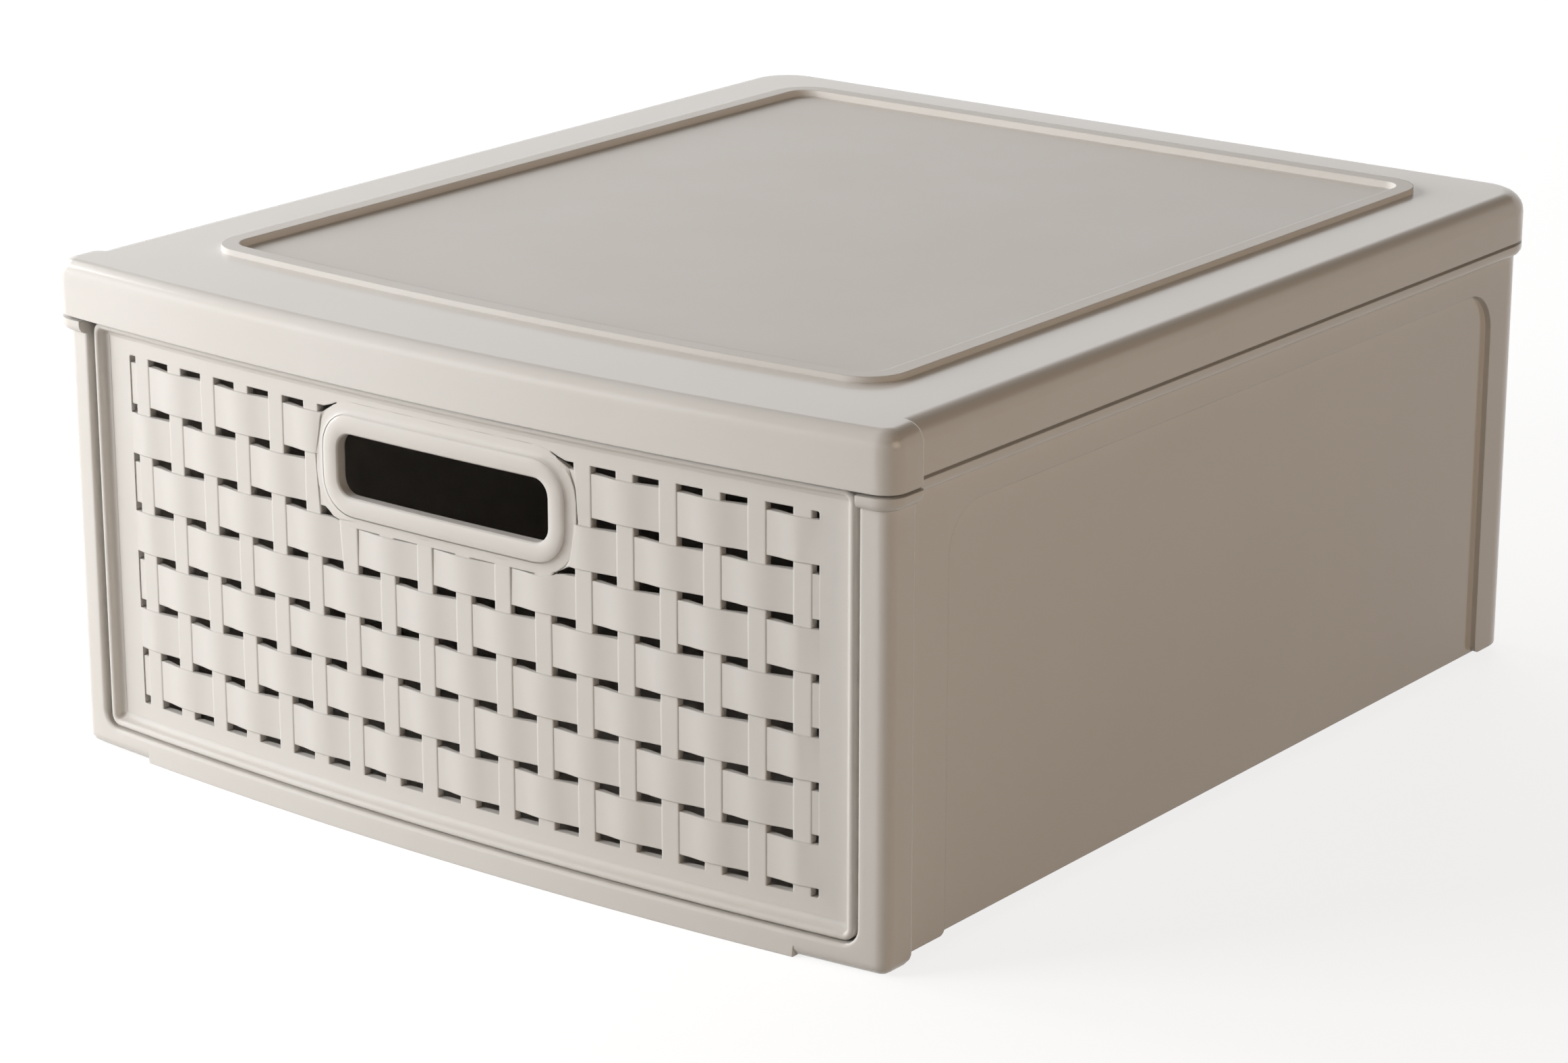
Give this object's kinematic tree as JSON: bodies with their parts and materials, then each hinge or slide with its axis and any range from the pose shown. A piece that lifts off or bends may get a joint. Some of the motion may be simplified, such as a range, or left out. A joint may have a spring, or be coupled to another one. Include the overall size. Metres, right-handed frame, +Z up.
{
  "type": "stackable drawer box",
  "caption": "Stackable moulded storage box with a bowed, woven-look drawer, an oblong finger slot and a raised ring on top that locates the next box.",
  "frame": {"origin": "on the surface that the box stands on, below the middle of its overall length and width", "axes": "+Z up, -Y out of the front where the drawer slides out, +X to the right as seen from the front"},
  "size_m": [0.34, 0.395, 0.17],
  "materials": {
    "case_plastic": "fine spark texture, warm light grey",
    "cover_plastic": "satin rails and ring, matt textured sunk panel",
    "drawer_plastic": "smooth satin",
    "front_plastic": "satin, with a moulded basket weave"
  },
  "bodies": {
    "case": {"body_shell": "case_plastic", "top_cover": "cover_plastic"},
    "drawer": {"drawer_tub": "drawer_plastic", "drawer_front": "front_plastic"}
  },
  "joints": [
    {"name": "drawer_slide", "type": "slide", "parent": "case", "child": "drawer", "axis": [0, -1, 0], "range_m": [0, 0.3]}
  ]
}
